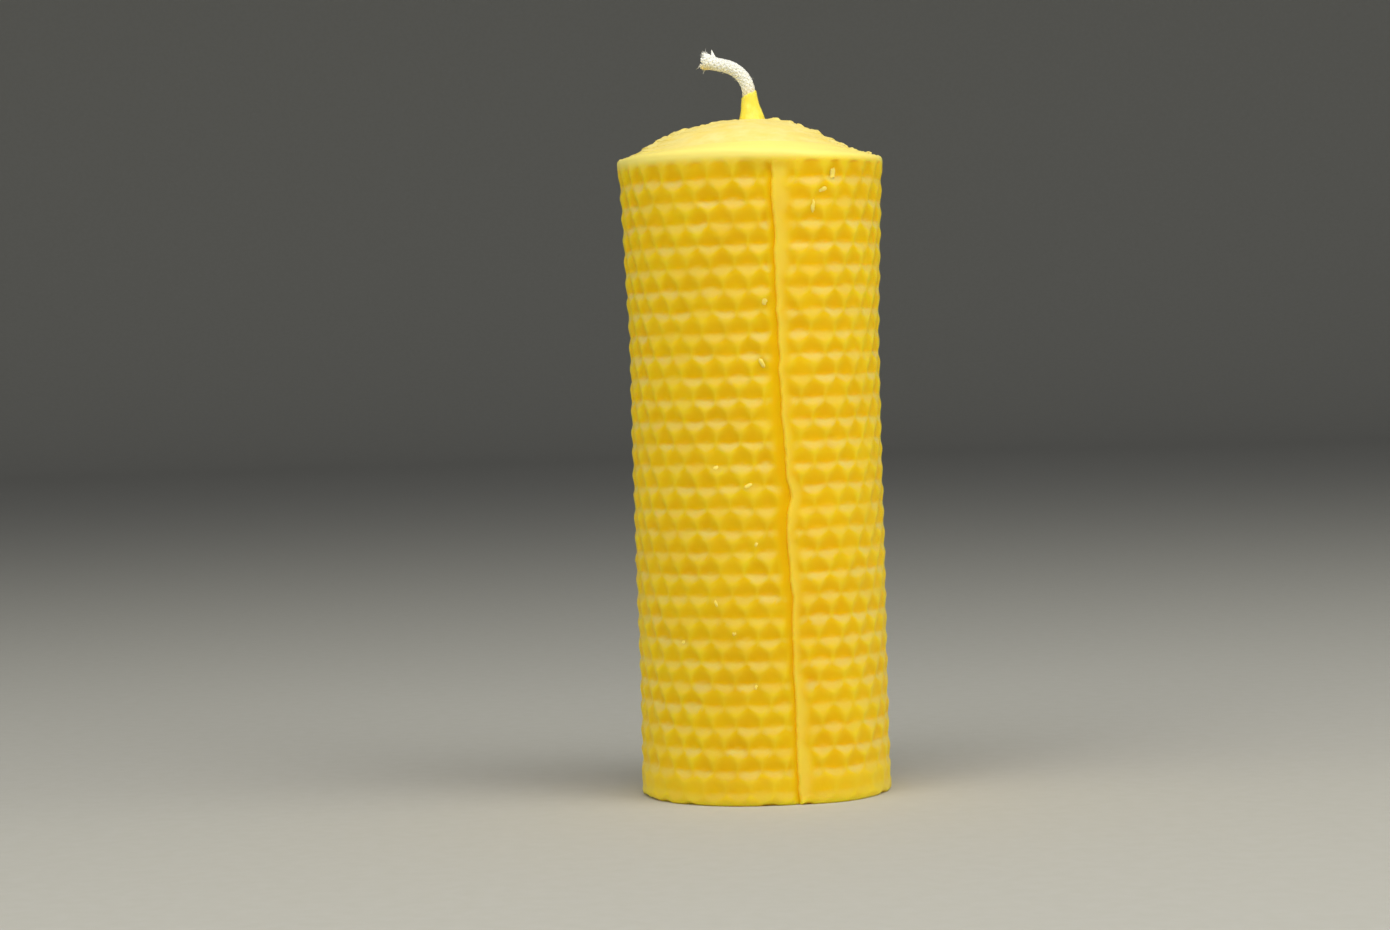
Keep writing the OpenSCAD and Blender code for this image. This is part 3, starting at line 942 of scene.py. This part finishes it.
# %% [markdown]
# ## The wick
# A braided cotton cord, white where it is bare, cream where wax has soaked in. Its path rises
# straight through the candle, bends to the left and ends in a frayed tuft. Strands could be
# painted as a texture, but the tuft and the outline show real yarns, so each strand is a tube
# that winds round the path, over and under the strands that wind the other way.

# %% Cotton material
COTTON_RADIUS = (1.0, 0.9, 0.75)

cotton = new_material("cotton_yarn_braided")
place = add_node(cotton, "TexCoord")
soak_value = add_node(cotton, "Attribute", attribute_name="soak")
# Fibres of the yarn are 0.02 mm thick; streaks of 0.25 mm are drawn so that they show.
streak = add_node(cotton, "TexNoise", {"Vector": (place, "Object")},
                  {"Scale": 1.0 / (0.25 * MM), "Detail": 3.0})
white = add_node(cotton, "ValToRGB", {"Fac": (streak, "Fac")},
                 stops=((0.25, "#F8F5EC"), (0.75, "#FFFEFB")))
soaked = add_node(cotton, "Mix", {"Factor": (soak_value, "Fac"), "A": (white, "Color")},
                  {"B": linear("#EFD58A")}, data_type="RGBA")
nap = add_node(cotton, "Bump", {"Height": (streak, "Fac")},
               {"Strength": 0.5, "Distance": 0.15 * MM})
# Loose fibres make cotton matt, with a faint sheen where it turns away, and let some light through.
yarn = add_node(cotton, "BsdfPrincipled",
                {"Base Color": (soaked, "Result"), "Normal": (nap, "Normal")},
                {"Roughness": 0.85, "Sheen Weight": 0.25, "Subsurface Weight": 0.3,
                 "Subsurface Radius": COTTON_RADIUS, "Subsurface Scale": 0.5 * MM})
add_node(cotton, "OutputMaterial", {"Surface": (yarn, "BSDF")})
print(cotton.name, len(cotton.node_tree.nodes), "nodes")

# %% Path of the wick
WICK_FOOT_Z = 1.0
BEND_Z = 153.55
BEND_R = 6.5
BEND = np.radians(76.0)
STRAIGHT = BEND_Z - WICK_FOOT_Z
REACH = 3.3 + 2.4
WICK_LONG = STRAIGHT + BEND_R * BEND + REACH
BACKWARDS = np.array([0.0, 1.0, 0.0])
SIDEWAYS = np.array([1.0, 0.0, 0.0])


def wick_path(s):
    """Point and outer side at a length s from the foot: straight up, then a round bend to the left, then
    straight on. The other side direction is always +y."""
    bent = np.clip((s - STRAIGHT) / BEND_R, 0.0, BEND)
    on = np.maximum(s - STRAIGHT - BEND_R * BEND, 0.0)
    x = WICK_X - BEND_R * (1.0 - np.cos(bent)) - on * np.sin(bent)
    z = WICK_FOOT_Z + np.minimum(s, STRAIGHT) + BEND_R * np.sin(bent) + on * np.cos(bent)
    point = np.stack([x - wick_lean(z), np.zeros_like(x), z], -1)
    outer_side = np.stack([np.cos(bent), np.zeros_like(x), np.sin(bent)], -1)
    return point, outer_side


def round_wick(s, radius, angle):
    """Points at a radius and an angle about the path: the outer side by cosine, +y by sine."""
    point, outer_side = wick_path(s)
    outwards, backwards = radius * np.cos(angle), radius * np.sin(angle)
    return point + outer_side * outwards[..., None] + BACKWARDS * backwards[..., None]


print("wick length in mm", round(WICK_LONG, 1))

# %% Tubes along many paths at once
NEARLY_ALONG = 0.9


def many_quads(count, rows, cols, start=0):
    """Quads of many like grids, one after the other, each closed on itself round its columns."""
    first = start + np.arange(count)[:, None, None] * rows * cols
    return (grid_quads(rows, cols, wrap_cols=True)[None] + first).reshape(-1, 4).tolist()


def tubes(paths, radii, sides, start=0):
    """Closed tubes: paths is (count, steps, 3), radii (count, steps). Each ring lies across its path, on
    two directions at right angles to it, and a flat face closes each end. Points count from start."""
    count, steps = radii.shape
    along = np.gradient(paths, axis=1)
    along /= np.linalg.norm(along, axis=-1, keepdims=True)
    guide = np.where(np.abs(along[..., 1:2]) < NEARLY_ALONG, BACKWARDS, SIDEWAYS)
    one = np.cross(guide, along)
    one /= np.linalg.norm(one, axis=-1, keepdims=True)
    two = np.cross(along, one)
    angle = np.arange(sides) * TURN / sides
    ring = one[:, :, None] * np.cos(angle)[:, None] + two[:, :, None] * np.sin(angle)[:, None]
    points = paths[:, :, None] + ring * radii[:, :, None, None]
    first = start + np.arange(count)[:, None] * steps * sides
    foot_ends = np.arange(sides)[::-1] + first
    far_ends = np.arange(sides) + (steps - 1) * sides + first
    faces = many_quads(count, steps, sides, start) + foot_ends.tolist() + far_ends.tolist()
    return points.reshape(-1, 3), faces


print("quads of two tubes with 3 rings of 4", len(many_quads(2, 3, 4)))

# %% Core of the wick
CORE_R, HIDDEN_R, CORE_END_R = 1.3, 1.45, 0.7
CORE_SIDES = 20
HIDDEN_STEPS, SHOWN_STEPS, CORE_CLEAR = 12, 70, 0.5
BRAID_FROM = STRAIGHT - 7.5
FLARE_OUT, FLARE_FROM = 0.5, WICK_LONG - 3.5
CORE_SOAK, CORE_SOAK_FADE = 0.6, (STRAIGHT - 1.5, STRAIGHT + 2.5)

hidden_s = np.linspace(0.0, BRAID_FROM, HIDDEN_STEPS)
shown_s = np.linspace(BRAID_FROM + CORE_CLEAR, WICK_LONG - CORE_CLEAR, SHOWN_STEPS)
core_s = np.append(hidden_s, shown_s)
core_r = np.where(core_s < BRAID_FROM, HIDDEN_R, CORE_R)
core_r = core_r + FLARE_OUT * smooth_step(core_s, FLARE_FROM, WICK_LONG)
core_r[-1] = CORE_END_R
core_points, core_faces = tubes(wick_path(core_s)[0][None], core_r[None], CORE_SIDES)
core_soak = np.repeat(CORE_SOAK * (1.0 - smooth_step(core_s, *CORE_SOAK_FADE)), CORE_SIDES)
candle_piece("wick_core", core_points, core_faces, cotton, "cotton", ("wick",), soak=core_soak)

# %% Paths of the braid
BRAID_R = 1.1
STRANDS = 8
BRAID_LEAD = 11.0
WEAVE = 0.025
STRAND_STEPS, STRAND_SIDES = 170, 7
STRAND_R, STRAND_UNEVEN, UNEVEN_STEPS = 0.37, 0.05, 3.0
# Strands end this much short at most, thin out by a share over a last length, and splay unevenly.
END_SHORTER, END_TAPER, END_LONG = 0.7, 0.5, 0.5
SPLAY_BETWEEN, SPLAY_CALM = (0.8, 1.2), 0.5
wick_draw = np.random.default_rng(71)

way = np.repeat([1.0, -1.0], STRANDS)[:, None]
number = np.tile(np.arange(STRANDS), 2)[:, None]
ends_at = WICK_LONG - wick_draw.uniform(0.0, END_SHORTER, (2 * STRANDS, 1))
strand_s = BRAID_FROM + (ends_at - BRAID_FROM) * np.linspace(0.0, 1.0, STRAND_STEPS)[None, :]
strand_angle = way * TURN * strand_s / BRAID_LEAD + TURN * number / STRANDS
splay = smooth_step(strand_s, FLARE_FROM, WICK_LONG)
splay = splay * wick_draw.uniform(*SPLAY_BETWEEN, (2 * STRANDS, 1)) * FLARE_OUT
over_under = way * WEAVE * np.cos(TURN * STRANDS * strand_s / BRAID_LEAD)
strand_r = BRAID_R + over_under * (1.0 - splay * SPLAY_CALM) + splay
strand_path = round_wick(strand_s, strand_r, strand_angle)
thick = STRAND_R * (1.0 - END_TAPER * smooth_step(strand_s - ends_at, -END_LONG, 0.0))
thick = thick * (1.0 + STRAND_UNEVEN * soft_noise(strand_s * UNEVEN_STEPS, number, 72))
print("strands", 2 * STRANDS, "steps along each", STRAND_STEPS)

# %% Make the braid
# Wax crept up from the collar, and a stain lies under the tip: share, and where each fades.
CREPT, CREPT_FADE = 0.7, (STRAIGHT - 1.0, STRAIGHT + 3.0)
STAIN, STAIN_UNDER, STAIN_FADE = 0.8, (0.2, 1.4), (WICK_LONG - 4.5, WICK_LONG - 1.0)

strand_points, strand_faces = tubes(strand_path, thick, STRAND_SIDES)
under = wick_path(strand_s)[0][..., 2] - strand_path[..., 2]
strand_soak = CREPT * (1.0 - smooth_step(strand_s, *CREPT_FADE))
strand_soak += STAIN * smooth_step(under, *STAIN_UNDER) * smooth_step(strand_s, *STAIN_FADE)
strand_soak = np.repeat(np.clip(strand_soak, 0.0, 1.0), STRAND_SIDES, axis=1)
candle_piece("braided_wick", strand_points, strand_faces, cotton, "cotton", soak=strand_soak)

# %% Paths of the loose fibres
FIBRES, AT_TIP = 46, 0.3
FIBRE_STEPS = 7
# Between which ends the fibres at the tip and the others start and are long, and how all lean and curl.
TIP_FROM, SIDE_FROM = (WICK_LONG - 1.6, WICK_LONG - 0.2), (STRAIGHT + 1.0, WICK_LONG - 1.0)
TIP_LONG, SIDE_LONG = (0.4, 1.0), (0.3, 0.7)
LEAN, CURL = (-0.6, 0.9), (-0.7, 0.7)
TIP_LEAN, LEAST_RISE = 0.5, 0.15
ROOT_R, TIP_ROOT_MORE = 1.35, 0.5


def draw(low, high):
    """One random number for each fibre."""
    return wick_draw.uniform(low, high, (FIBRES, 1))


at_tip = wick_draw.random((FIBRES, 1)) < AT_TIP
from_s = np.where(at_tip, draw(*TIP_FROM), draw(*SIDE_FROM))
fibre_angle = draw(-np.pi, np.pi)
fibre_long = np.where(at_tip, draw(*TIP_LONG), draw(*SIDE_LONG))
lean = draw(*LEAN) + at_tip * TIP_LEAN
curl = draw(*CURL)
grow = np.linspace(0.0, 1.0, FIBRE_STEPS)[None, :]
fibre_s = from_s + fibre_long * grow * lean
rise = np.sqrt(np.maximum(1.0 - lean ** 2, LEAST_RISE))
fibre_r = ROOT_R + TIP_ROOT_MORE * at_tip + fibre_long * grow * rise
fibre_path = round_wick(fibre_s, fibre_r, fibre_angle + curl * grow ** 2)
print("fibres", FIBRES, "of them at the tip", int(at_tip.sum()))

# %% Make the fibres and the tuft
FIBRE_R, FIBRE_TAPER, FIBRE_SIDES = 0.045, 0.6, 4
# One tuft stands up behind the tip: a cone along the outer side. Length along the wick, radius and angle
# of its root, and how much each grows towards its point.
TUFT_PATH = ((WICK_LONG - 2.8, 0.9), (0.9, 2.2), (0.15, 0.2))
TUFT_R, TUFT_TAPER, TUFT_POWER, TUFT_SIDES = 0.75, 0.92, 0.8, 9

fibre_thick = np.broadcast_to(FIBRE_R * (1.0 - FIBRE_TAPER * grow), (FIBRES, FIBRE_STEPS))
fibre_points, fibre_faces = tubes(fibre_path, fibre_thick, FIBRE_SIDES)
tuft_path = round_wick(*(root + more * grow for root, more in TUFT_PATH))
tuft_thick = TUFT_R * (1.0 - TUFT_TAPER * grow ** TUFT_POWER)
tuft_points, tuft_faces = tubes(tuft_path, tuft_thick, TUFT_SIDES, start=len(fibre_points))
fibre_points = np.concatenate([fibre_points, tuft_points])
candle_piece("loose_fibres", fibre_points, fibre_faces + tuft_faces, cotton, "cotton",
             soak=np.zeros(len(fibre_points)))

# %% [markdown]
# ## Crumbs of wax
# Slivers from the cut stick to the face of the candle, and a few catch the light. They could be
# scattered by chance, but those on the front have known places. Each crumb is a small ball pulled
# out of round, turned and pressed onto the face at its angle from the front and its height.

# %% Shaved wax material
crumb_wax = new_material("beeswax_shavings")
place = add_node(crumb_wax, "TexCoord")
# Shaved wax is full of cracks that scatter light at once, so it is paler and duller than the face.
cracks = add_node(crumb_wax, "TexNoise", {"Vector": (place, "Object")},
                  {"Scale": 1.0 / (0.5 * MM), "Detail": 3.0})
shaved = add_node(crumb_wax, "ValToRGB", {"Fac": (cracks, "Fac")},
                  stops=((0.3, "#FBDC58"), (0.7, "#FFEA7C")))
crumb_shader = add_node(crumb_wax, "BsdfPrincipled", {"Base Color": (shaved, "Color")},
                        {"Roughness": 0.45, "IOR": WAX_IOR})
add_node(crumb_wax, "OutputMaterial", {"Surface": (crumb_shader, "BSDF")})
print(crumb_wax.name, len(crumb_wax.node_tree.nodes), "nodes")

# %% Places of the crumbs
# Degrees right of the front, height, length, width and turn in degrees of each crumb that was seen.
SEEN_CRUMBS = np.array([
    (36.5, 134.5, 2.3, 1.5, 70.0), (31.0, 131.0, 2.0, 0.9, 15.0), (26.5, 127.5, 2.8, 0.8, 88.0),
    (4.5, 107.5, 1.4, 1.1, 60.0), (2.5, 94.5, 2.3, 0.9, 118.0), (-21.0, 72.5, 1.3, 0.8, 10.0),
    (-5.5, 68.5, 1.8, 0.8, 15.0), (-2.5, 56.0, 1.0, 0.7, 40.0), (-22.5, 43.5, 1.5, 0.8, 120.0),
    (-14.0, 37.0, 1.0, 0.7, 0.0), (-41.5, 35.0, 0.9, 0.7, 30.0), (-4.5, 25.5, 1.0, 0.7, 80.0)])
# The same values for crumbs at the back, each drawn between these ends.
UNSEEN_BETWEEN = ((70.0, 290.0), (12.0, 132.0), (0.6, 1.8), (0.4, 0.7), (0.0, 180.0))
UNSEEN = 12
crumb_draw = np.random.default_rng(81)

unseen = np.stack([crumb_draw.uniform(low, high, UNSEEN) for low, high in UNSEEN_BETWEEN], -1)
crumbs = np.concatenate([SEEN_CRUMBS, unseen])
from_front, crumb_at, length, width, tilt = (crumbs[:, k, None, None] for k in range(5))
print("crumbs", len(crumbs))

# %% Make the crumbs
BALL_ROWS, BALL_COLS = 7, 9
KNOBS, CRUMB_FLAT, CRUMB_PROUD = 0.4, 0.14, 0.06
FRONT_TO_SEAM = 12.5

lon = np.linspace(0.0, TURN, BALL_COLS, endpoint=False)[None, None, :]
lat = np.linspace(-0.5 * np.pi, 0.5 * np.pi, BALL_ROWS)[None, :, None]
knobs = 1.0 + KNOBS * crumb_draw.uniform(-1.0, 1.0, (len(crumbs), BALL_ROWS, BALL_COLS)) * np.cos(lat)
ball_long = 0.5 * length * knobs * np.sin(lat)
ball_wide = 0.5 * width * knobs * np.cos(lat) * np.cos(lon)
ball_out = CRUMB_FLAT * width * knobs * np.cos(lat) * np.sin(lon)
cos_tilt, sin_tilt = np.cos(np.radians(tilt)), np.sin(np.radians(tilt))
sideways = ball_long * cos_tilt - ball_wide * sin_tilt
crumb_z = crumb_at + (ball_long * sin_tilt + ball_wide * cos_tilt)
crumb_turn = ((from_front - FRONT_TO_SEAM) / 360.0) % 1.0 + sideways / (TURN * ROLL_R)
ridge_r = pressed_face(crumb_turn * CELLS_PER_TURN - FIRST_CELL, crumb_z)[0]
crumb_points = on_roll(crumb_turn, ridge_r + CRUMB_PROUD + ball_out, crumb_z).reshape(-1, 3)
crumb_faces = many_quads(len(crumbs), BALL_ROWS, BALL_COLS)
candle_piece("wax_crumbs", crumb_points, crumb_faces, crumb_wax, "honeycomb_wax")

# %% [markdown]
# ## Floor and light
# A plain pale floor curves up far off all round, so no edge shows. One large soft lamp hangs above
# the front, a little to the right: each cell's lower wall catches it and its upper wall does not.
# Two wide fills at the sides light the flanks, and are kept out of the reflections in the wax.

# %% Floor
FLOOR_R, COVE_R, WALL_TOP = 2.4, 0.8, 1.6
FLAT_R = (0.001, 0.4, 1.0, 1.8)
COVE_ROWS, COVE_COLS = 13, 96

floor_paper = new_material("matt_pale_paper")
place = add_node(floor_paper, "TexCoord")
# Paper has a faint mottle, drawn 4 mm across.
mottle = add_node(floor_paper, "TexNoise", {"Vector": (place, "Object")},
                  {"Scale": 1.0 / (4 * MM)})
tone = add_node(floor_paper, "ValToRGB", {"Fac": (mottle, "Fac")},
                stops=((0.3, "#BAB9B5"), (0.7, "#BDBCB9")))
paper = add_node(floor_paper, "BsdfPrincipled", {"Base Color": (tone, "Color")},
                 {"Roughness": 0.9})
add_node(floor_paper, "OutputMaterial", {"Surface": (paper, "BSDF")})

bend_up = np.linspace(0.0, 0.5 * np.pi, COVE_ROWS)
cove_r = np.concatenate([FLAT_R, FLOOR_R + COVE_R * np.sin(bend_up), [FLOOR_R + COVE_R]])[:, None]
cove_z = np.concatenate([np.zeros(len(FLAT_R)), COVE_R - COVE_R * np.cos(bend_up), [WALL_TOP]])[:, None]
about = np.linspace(0.0, TURN, COVE_COLS, endpoint=False)
cove = np.stack(np.broadcast_arrays(cove_r * np.cos(about), cove_r * np.sin(about), cove_z), -1)
cove_faces = grid_quads(cove_r.size, COVE_COLS, wrap_cols=True)[:, ::-1].tolist()
floor = smooth_object("floor", cove.reshape(-1, 3), cove_faces + [list(range(COVE_COLS))], floor_paper)
print("floor", len(floor.data.polygons), "faces")

# %% Lamps and world
LAMPS_LOOK_AT = Vector((0.0, 0.0, 0.08))
FILL_SIZE = (1.0, 1.0)
SKY_STRENGTH = 0.15


def soft_lamp(name, at, size, power, colour):
    """An oblong area lamp at a place in metres, turned to look at the candle."""
    lamp_data = bpy.data.lights.new(name, "AREA")
    lamp_data.shape = "RECTANGLE"
    lamp_data.size, lamp_data.size_y = size
    lamp_data.energy = power
    lamp_data.color = linear(colour)[:3]
    lamp = linked(name, lamp_data)
    gaze = LAMPS_LOOK_AT - Vector(at)
    lamp.matrix_world = Matrix.Translation(at) @ gaze.to_track_quat("-Z", "Y").to_matrix().to_4x4()
    return lamp


soft_lamp("key_lamp", (0.06, -0.42, 0.80), (1.3, 0.6), 7.5, "#FFFAF2")
fill_left = soft_lamp("fill_left", (-0.84, -0.52, 0.32), FILL_SIZE, 4.5, "#F9FFEA")
fill_right = soft_lamp("fill_right", (0.86, -0.48, 0.34), FILL_SIZE, 5.7, "#FAFFEC")
fill_left.visible_glossy = False
fill_right.visible_glossy = False
world = bpy.data.worlds.new("studio")
world.use_nodes = True
sky = world.node_tree.nodes["Background"]
sky.inputs["Color"].default_value = linear("#E4E6E8")
sky.inputs["Strength"].default_value = SKY_STRENGTH
bpy.context.scene.world = world
bpy.context.scene.view_settings.view_transform = "Standard"
